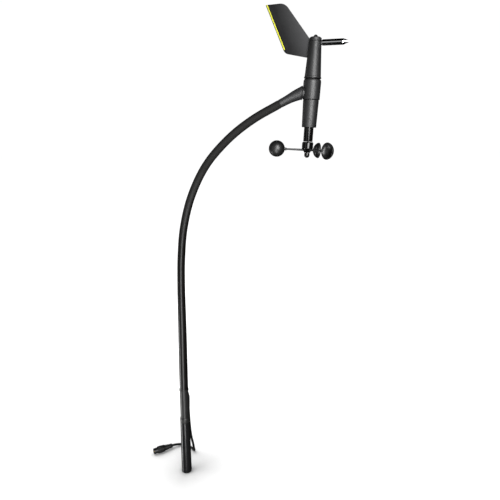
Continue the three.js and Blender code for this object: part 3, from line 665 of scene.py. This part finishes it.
def make_neck():
    before_end, end_of_spar = through([(x, 0, z) for x, z in SPAR_LINE], SPAR_SECTIONS)[-2:]
    heading = (end_of_spar - before_end).normalized()
    first = end_of_spar + heading * 2 * GAP
    end = (HEAD @ (Vector((-NECK_FACE, 0, NECK_LEVEL)) * MM)) / MM
    before = end + Vector((-0.91, 0, -0.42)) * 12
    points = through([first, before, end], NECK_SECTIONS)
    tall, wide = [], []
    for i in range(NECK_SECTIONS):
        u = i / (NECK_SECTIONS - 1)
        flare = u ** NECK_FLARE
        lip = 0.35 * (1 - smooth(i / 3)) + 0.3 * smooth((i - NECK_SECTIONS + 3) / 2)
        tall.append(SPAR_HEAD_R + (NECK_TALL - SPAR_HEAD_R) * flare - lip)
        wide.append(SPAR_HEAD_R + (NECK_WIDE - SPAR_HEAD_R) * flare - lip)
    axis = HEAD.to_3x3() @ Vector((0, 0, 1))
    bore = [NECK_BORE] * NECK_SECTIONS
    outer = sections_along(points, tall, wide, axis)
    inner = sections_along(points, bore, bore, axis)
    obj = shaded(solid("neck", swept(outer, inner, sides=80), ROW, "neck_grey"))
    return placed(obj, "mast_arm", "neck_grey", "neck_moulding")


def oval(tall, wide, start, end, edge=0.25):
    """A bar with an oval section along X, in the head's frame, with eased ends."""
    up, side = Vector((0, 0, 1)), Vector((0, 1, 0))
    stations = [(start, edge), (start + edge, 0), (end - edge, 0), (end, edge)]
    return [
        (Vector((x, 0, NECK_LEVEL)), up, side, tall - less, wide - less) for x, less in stations
    ]


def make_neck_seal():
    shape = swept(oval(11.4, 10, -17, -15.3), oval(6.2, 5.8, -17, -15.3, edge=0))
    obj = shaded(solid("neck_gasket", shape, HEAD, "seal_black"))
    return placed(obj, "mast_arm", "seal_black", "neck_seal")


make_spar()
make_neck()
make_neck_seal()


# ---------- fixed part of the head ----------


def make_lower_housing():
    profile = [
        (8.3, 37.5), (12.05, 37.5, 0.7), (13.15, 81, 0.35), (11.1, 81), (10.85, 72.7), (9.7, 72.7),
        (9.7, 70.7), (10.7, 69.7), (9.9, 41), (8.3, 41),
    ]
    return turned_piece("housing_lower", profile, HEAD, "mast_arm", "housing_grey", ["lower_housing"])


def make_middle_housing():
    shoulder = [(12.35 + 2.2 * math.cos(math.radians(a)), 109.5 + 4.7 * math.sin(math.radians(a)), 0)
                for a in range(10, 71, 10)]
    profile = [
        (9.2, 79.2), (10.65, 79.2), (10.65, 82.2, 0), (14.2, 82.2, 0.35), (14.55, 109.5, 0), *shoulder,
        (12.2, 114.2), (12.2, 104.2), (10.4, 104.2), (10.4, 101.8), (12.2, 100.2), (12.2, 85), (9.2, 85),
    ]
    shape = turned(rounded(profile, 0.3, closed=True), closed=True)
    barrel = solid("housing_middle", shape, HEAD, "housing_grey")
    boss = solid("boss", swept(oval(8.8, 9, -15, -12.6), oval(3.4, 3.4, -15, -12.6, edge=0)), HEAD)
    bore = swept(oval(3.4, 3.4, -16.5, -9, edge=0), oval(0.2, 0.2, -16.5, -9, edge=0))
    hole = solid("hole", bore, HEAD)
    combine(barrel, boss, "UNION")
    combine(barrel, hole, "DIFFERENCE")
    return placed(shaded(barrel), "mast_arm", "housing_grey", "middle_housing")


def make_fixed_head():
    make_lower_housing()
    make_middle_housing()
    gasket = [(10.95, 81.3), (12.65, 81.3), (12.65, 81.9), (10.95, 81.9)]
    turned_piece("housing_gasket", gasket, HEAD, "mast_arm", "seal_black", ["housing_seal"], round=0.15)
    tube = [
        (5.3, 13.9), (7.9, 13.9, 0.6), (7.9, 41.4), (9.5, 41.4), (9.5, 44.4), (7.9, 44.4), (7.9, 62),
        (5.3, 62), (5.3, 56.9), (4.2, 56.9), (4.2, 19), (5.3, 19),
    ]
    turned_piece("bearing_tube", tube, HEAD, "mast_arm", "gloss_black", ["rotor_bearing_tube"])


make_fixed_head()


# ---------- cup rotor ----------

CUP_R = 13.75
CUP_DEPTH = 10
CUP_WALL = 1.2
LIP_TALL = 0.5
CUP_STEPS = 30
RIM_AHEAD = 2.6
ROTOR_R = 52
ARM_HOLE_R = 1.95


def cup_curve(radius, depth):
    """The bowl's half section, from its pole to its rim."""
    made = [(0, -depth)]
    for i in range(1, CUP_STEPS + 1):
        t = math.pi / 2 * i / CUP_STEPS
        made.append((radius * math.sin(t), -depth * max(math.cos(t), 0) ** 1.15))
    return made


def make_cup(number):
    arm = turned_to(HEAD, f"cup_arm_{number}")
    along = arm @ ALONG_X
    centre = Matrix.Translation(Vector((ROTOR_R, -RIM_AHEAD, 0)) * MM)
    bowl = arm @ centre @ Matrix.Rotation(math.pi / 2, 4, "X")
    outside = [p for p in cup_curve(CUP_R, CUP_DEPTH) if p[1] < -LIP_TALL]
    inside = [p for p in cup_curve(CUP_R - CUP_WALL, CUP_DEPTH - CUP_WALL) if p[1] < -LIP_TALL]
    lip = [(CUP_R - 0.5 * CUP_WALL * (1 - math.cos(a)), LIP_TALL * (math.sin(a) - 1))
           for a in np.linspace(0, math.pi, 9)]
    profile = [*outside, *lip, *reversed(inside)]
    cup = solid(f"wind_cup_{number}", turned(profile, sides=96), bowl, "cup_black")
    socket = rounded([(1.5, 35.65), (2.4, 35.65), (2.4, 39.4), (1.5, 39.4)], 0.25, closed=True)
    boss = solid("boss", turned(socket, sides=48, closed=True), along)
    combine(cup, boss, "UNION")
    placed(shaded(cup), "cup_rotor", "cup_black", f"cup_{number}")
    rod = [(0, 4), (1.85, 4), (1.4, 38.15), (0, 38.15)]
    turned_piece(f"rotor_arm_{number}", rod, along, "cup_rotor", "arm_grey", [f"cup_arm_{number}"],
                 closed=False, round=0.3, sides=40)
    return along


def make_rotor():
    profile = [
        (1.8, -4.6), (4.6, -4.6, 0.5), (9.45, 2.5, 0.9), (9.45, 11.8, 0.35), (8.15, 13.3, 0.35), (6.4, 13.3),
        (6.4, 6), (1.8, 6),
    ]
    hub = solid("rotor_boss", turned(rounded(profile, 0.3, closed=True), closed=True), HEAD, "gloss_black")
    for number in (1, 2, 3):
        along = make_cup(number)
        bore = turned([(0, 3.6), (ARM_HOLE_R + 0.1, 3.6), (ARM_HOLE_R, 12), (0, 12)], sides=40)
        hole = solid("hole", bore, along)
        combine(hub, hole, "DIFFERENCE")
    placed(shaded(hub), "cup_rotor", "gloss_black", "rotor_hub")
    nose = [(4.5 * math.cos(math.radians(a)), -8.6 + 4.4 * math.sin(math.radians(a)), 0)
            for a in range(0, -81, -8)]
    turned_piece("tip_nut", [(0, -10.9), (1.8, -10.9), (1.8, -4.9), (4.4, -4.9), *nose, (0, -13)], HEAD,
                 "cup_rotor", "gloss_black", ["rotor_tip_nut"], closed=False, round=0.25)


make_rotor()


# ---------- vane ----------

BLADE_HALF = 0.9
BLADE_CORNERS = [  # distance behind the axis, height and corner radius
    (8.6, 175.6, 0), (10.3, 147.5, 0), (52.3, 155.7, 13.4), (92.3, 233.3, 0.94), (57.5, 234, 21.9),
]
BLADE_EDGE = [(0.0, 0.0), (0.05, 0.17), (0.18, 0.31), (0.4, 0.4)]
BLADE_CROWN = (0.0, 0.04, 0.09, 0.16, 0.25, 0.36, 0.5, 0.68, 0.86)


def blade_outline():
    """The blade's outline in the vane's frame, with rounded corners and even spacing."""
    corners = [(-x, z, r) for x, z, r in BLADE_CORNERS]
    line = rounded(corners, 0, steps=12, closed=True)
    return dense([*line, line[0]], 3)[:-1]


def inset(line, distance):
    """A closed convex outline moved inwards."""
    middle = np.mean(line, axis=0)
    made = []
    for i, here in enumerate(line):
        before, after = np.array(line[i - 1]), np.array(line[(i + 1) % len(line)])
        normal = np.array([-(after - before)[1], (after - before)[0]])
        normal = normal / np.linalg.norm(normal)
        if normal @ (middle - here) < 0:
            normal = -normal
        made.append(np.array(here) + normal * distance)
    return made


def blade_rows():
    """Outlines from the edge to the middle of one face, each with its half thickness."""
    line = [np.array(p) for p in blade_outline()]
    rows = [(inset(line, off), half) for off, half in BLADE_EDGE]
    rim, low = rows[-1]
    middle = np.mean(rim, axis=0)
    for share in BLADE_CROWN[1:]:
        half = low + (BLADE_HALF - low) * (1 - (1 - min(share / 0.5, 1)) ** 2)
        rows.append(([p + (middle - p) * share for p in rim], half))
    return rows


def make_blade():
    rows = blade_rows()
    count = len(rows[0][0])
    vertices, faces, loops = [], [], []
    sheets = [(rows[::-1], 1), (rows[1:], -1)]
    for sheet, side in sheets:
        for line, half in sheet:
            loops.append(list(range(len(vertices), len(vertices) + count)))
            vertices += [(x, side * half, z) for x, z in line]
    for low, high in zip(loops, loops[1:]):
        faces += between(low, high, count)
    faces += [tuple(loops[0]), tuple(reversed(loops[-1]))]
    obj = shaded(solid("wind_blade", (vertices, faces), VANE), 40)
    obj.data.materials.append(blade_finish())
    return placed(obj, "vane_assembly", "blade_grey", "vane_blade")


STRIPE_COLOUR = (204, 206, 50)
STRIPE_LIGHT = (214, 214, 76)
STRIPE_EDGES = (1.2, 3.2)  # distances from the straight trailing edge, in millimetres
STRIPE_FROM = 5.5  # distance along the edge from its lower corner, in millimetres
MARGIN_END = 4.6
MARGIN_COLOUR = (10, 10, 16)
SOFT_EDGE = 0.1
PAINTED_SHEEN_BETWEEN = (12, 46)  # distances from the trailing edge over which a painted sheen turns the plastic paler towards the front edge
# the colour of the painted sheen, which stands in for the light on the blade's front part
PAINTED_SHEEN_COLOUR = (66, 66, 67)


def blade_finish():
    """Satin plastic with a printed stripe between two dark margins, along the trailing edge, and a painted
    sheen that turns it paler towards the front edge.
    """
    nodes = make_finish("blade_plastic", (20, 20, 21), (26, 26, 27), (0.4, 0.5), patch=40, depth=0.006)
    low, high = (Vector((-x, 0, z)) for x, z, _ in BLADE_CORNERS[2:4])
    run = (high - low).normalized()
    inwards = Vector((run.z, 0, -run.x))
    start = VANE @ (low * MM)
    turn = VANE.to_3x3()
    across = turn @ inwards
    distance = nodes.maths("SUBTRACT", nodes.dotted(nodes.place, across), start.dot(across))
    lengthways = turn @ run
    height = nodes.maths("SUBTRACT", nodes.dotted(nodes.place, lengthways), start.dot(lengthways))
    # painted sheen: the plastic turns paler towards the front edge, where the light falls on it
    painted_sheen = nodes.ranged(distance, *[v * MM for v in PAINTED_SHEEN_BETWEEN])
    base = nodes.mixed(painted_sheen, nodes.tone, colour(*PAINTED_SHEEN_COLOUR))
    margin = nodes.ranged(distance, MARGIN_END * MM, (MARGIN_END + SOFT_EDGE) * MM, 1, 0)
    tone = nodes.mixed(margin, base, colour(*MARGIN_COLOUR))
    first, last = STRIPE_EDGES
    bounds = [
        nodes.ranged(distance, (first - SOFT_EDGE) * MM, first * MM),
        nodes.ranged(distance, last * MM, (last + SOFT_EDGE) * MM, 1, 0),
        nodes.ranged(height, STRIPE_FROM * MM, (STRIPE_FROM + SOFT_EDGE) * MM),
    ]
    printed = nodes.maths("MULTIPLY", nodes.maths("MULTIPLY", bounds[0], bounds[1]), bounds[2])
    ink = nodes.ranged(nodes.noise(nodes.place, 900, 3), 0.3, 0.7)
    print_tone = nodes.mixed(ink, colour(*STRIPE_COLOUR), colour(*STRIPE_LIGHT))
    tone = nodes.mixed(printed, tone, print_tone)
    nodes.join(tone, nodes.shader.inputs["Base Color"])
    return nodes.material


VANE_BODY_FOOT = (13.4, 118)  # radius and height
VANE_BODY_HEAD = (9.95, 172.4)
VANE_BODY_WALL = 2


def vane_body_radius(level):
    """The body's outer radius at a height between its two ends."""
    foot_r, foot = VANE_BODY_FOOT
    head_r, head = VANE_BODY_HEAD
    share = (level - foot) / (head - foot)
    return foot_r + (head_r - foot_r) * share


def make_vane_body():
    above, below = [(vane_body_radius(level) - VANE_BODY_WALL, level) for level in (156, 152)]
    profile = [
        (12.2, 115.5), (14.2, 115.5, 0.4), (14.2, 117.3, 0.4), (*VANE_BODY_FOOT, 0.5),
        (*VANE_BODY_HEAD, 0.4), (7.95, 172.4), above, (2.3, 156), (2.3, 152), below, (11.4, 119.5),
    ]
    body = solid("vane_shell", turned(rounded(profile, 0.3, closed=True), closed=True), VANE, "housing_grey")
    slot = solid("slot", block((-15.5, -1.2, 146.6), (-6.5, 1.2, 174)), VANE)
    combine(body, slot, "DIFFERENCE")
    return placed(shaded(body), "vane_assembly", "housing_grey", "vane_body")


def make_vane_cap():
    profile = [
        (7.9, 172.9), (9.9, 172.9, 0.35), (9.9, 177.5, 1.3), (8.3, 178.7, 1.2), (2.3, 178.7), (2.3, 176.7),
        (7.6, 176.7),
    ]
    cap = solid("vane_lid", turned(rounded(profile, 0.25, closed=True), closed=True), VANE, "housing_grey")
    slot = solid("slot", block((-15.5, -1.2, 170), (-6.5, 1.2, 177.3)), VANE)
    combine(cap, slot, "DIFFERENCE")
    return placed(shaded(cap), "vane_assembly", "housing_grey", "vane_cap")


def make_vane_trim():
    bottom = 179
    dome = [(3.25 * math.cos(math.radians(a)), bottom + 0.9 + 3 * math.sin(math.radians(a)), 0)
            for a in range(0, 81, 8)]
    turned_piece("lid_nut", [(0, bottom + 2.2), (2.3, bottom + 2.2), (2.3, bottom), (3.25, bottom), *dome,
                             (0, 182.9)], VANE, "vane_assembly", "gloss_black", ["vane_cap_nut"],
                 closed=False, round=0.2, sides=64)
    rod = [
        (0, 7.5), (1.5, 7.5), (1.5, 10.7), (3.6, 10.7), (4.7, 12.9, 0.8), (4.7, 46.4, 0.3), (4.2, 47.9, 0.6),
        (1.1, 55.4, 0.5), (0, 55.9),
    ]
    along = VANE @ Matrix.Translation((0, 0, 170.3 * MM)) @ ALONG_X
    turned_piece("balance_rod", rod, along, "vane_assembly", "polished_steel", ["vane_counterweight"],
                 closed=False, round=0.25)


make_blade()
make_vane_body()
make_vane_cap()
make_vane_trim()


# ---------- carried-over CAD nodes ----------

INNER = {
    "steel": ["rotor_bearing_lower", "rotor_bearing_upper", "vane_bearing_lower", "vane_bearing_upper",
              "rotor_shaft", "vane_spindle"],
    "chip_black": ["rotor_sensor_chip", "board_header", "vane_sensor_chip", "rotor_magnet_holder",
                   "vane_magnet_holder"],
    "board_green": ["rotor_sensor_board", "vane_sensor_board"],
    "magnet_grey": ["rotor_magnet", "vane_magnet"],
    "housing_grey": ["vane_bearing_post"],
    "cable_black": ["inner_cable"],
}


def finish_inner_nodes():
    for finish, names in INNER.items():
        for name in names:
            mesh = frame["nodes"][name].data
            mesh.materials.clear()
            mesh.materials.append(FINISHES[finish].material)


finish_inner_nodes()


# ---------- stage and light ----------

FLOOR_HALF = 20
CONTACT_REACH = 0.1
CONTACT_BETWEEN = (0.55, 0.98)  # open share of the sky between which the contact shadow fades
NEAR_GLOW = 0.5
FAR_GLOW = 0.6
FLOOR_MATTE = 0.15
SHADED_UP_TO = (0.03, 0.3)  # distances from the foot between which the floor turns to pure white


def make_floor():
    """A plain white floor with a soft contact shadow."""
    mesh = bpy.data.meshes.new("floor")
    corners = [(-FLOOR_HALF, -FLOOR_HALF, 0), (FLOOR_HALF, -FLOOR_HALF, 0), (FLOOR_HALF, FLOOR_HALF, 0),
               (-FLOOR_HALF, FLOOR_HALF, 0)]
    mesh.from_pydata(corners, [], [(0, 1, 2, 3)])
    floor = bpy.data.objects.new("floor", mesh)
    bpy.context.scene.collection.objects.link(floor)
    nodes = Nodes("floor_white")
    near = nodes.add("ShaderNodeAmbientOcclusion", samples=16)
    near.inputs["Distance"].default_value = CONTACT_REACH
    shade = nodes.ranged(near.outputs["AO"], *CONTACT_BETWEEN, 0, NEAR_GLOW)
    place = nodes.add("ShaderNodeTexCoord")
    distance = nodes.add("ShaderNodeVectorMath", operation="LENGTH")
    nodes.join(place.outputs["Object"], distance.inputs[0])
    beyond = nodes.ranged(distance.outputs["Value"], *SHADED_UP_TO, 0, FAR_GLOW)
    shade = nodes.maths("ADD", shade, beyond)
    glow = nodes.add("ShaderNodeEmission")
    nodes.join(shade, glow.inputs["Strength"])
    matte = nodes.add("ShaderNodeBsdfDiffuse")
    matte.inputs["Color"].default_value = (FLOOR_MATTE, FLOOR_MATTE, FLOOR_MATTE, 1)
    both = nodes.add("ShaderNodeAddShader")
    nodes.join(glow.outputs[0], both.inputs[0])
    nodes.join(matte.outputs[0], both.inputs[1])
    output = nodes.add("ShaderNodeOutputMaterial")
    nodes.join(both.outputs[0], output.inputs["Surface"])
    mesh.materials.append(nodes.material)
    floor.visible_diffuse = False
    floor.visible_glossy = False
    floor.visible_shadow = False
    return floor


AMBIENT = 0.16
BACKDROP = 1.02


def make_world():
    """A white backdrop for the camera, a dim even light for matte surfaces and nothing to reflect."""
    world = bpy.data.worlds.new("world")
    bpy.context.scene.world = world
    world.use_nodes = True
    tree = world.node_tree
    background = tree.nodes["Background"]
    paths = tree.nodes.new("ShaderNodeLightPath")
    level = tree.nodes.new("ShaderNodeMapRange")
    level.inputs["To Min"].default_value = AMBIENT
    level.inputs["To Max"].default_value = BACKDROP
    tree.links.new(paths.outputs["Is Camera Ray"], level.inputs["Value"])
    tree.links.new(level.outputs["Result"], background.inputs["Strength"])
    background.inputs["Color"].default_value = (1, 1, 1, 1)
    world.cycles_visibility.glossy = False


CENTRE = Vector((0.1, 0, 0.5))
SOFTBOXES = [  # name, azimuth from the camera's side towards +X, distance, height, width, tall, radiance
    ("key_high", 15, 1.5, 1.05, 0.75, 1.1, 13.0),
    ("key_low", -2, 1.5, -0.35, 0.5, 1.3, 9.0),
    ("fill_left", -45, 1.6, 0.9, 0.9, 1.2, 0.5),
    ("rim_high", -132, 1.3, 0.8, 0.4, 1.2, 1.0),
    ("side_low", -88, 1.2, -0.5, 0.4, 0.8, 9.0),
    ("back_fill", 172, 1.6, 0.9, 1.4, 1.4, 9.0),
]
MATTE_ONLY = ("back_fill",)  # lights that add no highlight


def make_softbox(name, azimuth, distance, height, width, tall, radiance):
    turn = math.radians(azimuth)
    data = bpy.data.lights.new(name, "AREA")
    data.shape = "RECTANGLE"
    data.size = width
    data.size_y = tall
    data.energy = radiance * math.pi * width * tall
    light = bpy.data.objects.new(name, data)
    light.location = (CENTRE.x + distance * math.sin(turn), -distance * math.cos(turn), height)
    aim = Vector((CENTRE.x, 0, height)) - light.location
    light.rotation_euler = aim.to_track_quat("-Z", "Y").to_euler()
    light.visible_camera = False
    light.visible_glossy = name not in MATTE_ONLY
    bpy.context.scene.collection.objects.link(light)


FLOOR_LAMP_AT = Vector((-0.75, -0.25, 1.7))
FLOOR_LAMP_SIZE = 0.9
FLOOR_LAMP_ENERGY = 78


def make_floor_lamp(floor):
    """A lamp for the floor alone, so that the object's shadow falls softly to the right."""
    data = bpy.data.lights.new("floor_lamp", "AREA")
    data.size = FLOOR_LAMP_SIZE
    data.energy = FLOOR_LAMP_ENERGY
    lamp = bpy.data.objects.new("floor_lamp", data)
    lamp.location = FLOOR_LAMP_AT
    lamp.rotation_euler = (-FLOOR_LAMP_AT).to_track_quat("-Z", "Y").to_euler()
    lamp.visible_camera = False
    bpy.context.scene.collection.objects.link(lamp)
    lit = bpy.data.collections.new("lit_by_floor_lamp")
    lit.objects.link(floor)
    lamp.light_linking.receiver_collection = lit


make_floor_lamp(make_floor())
make_world()
for softbox in SOFTBOXES:
    make_softbox(*softbox)
bpy.context.scene.view_settings.view_transform = "Standard"
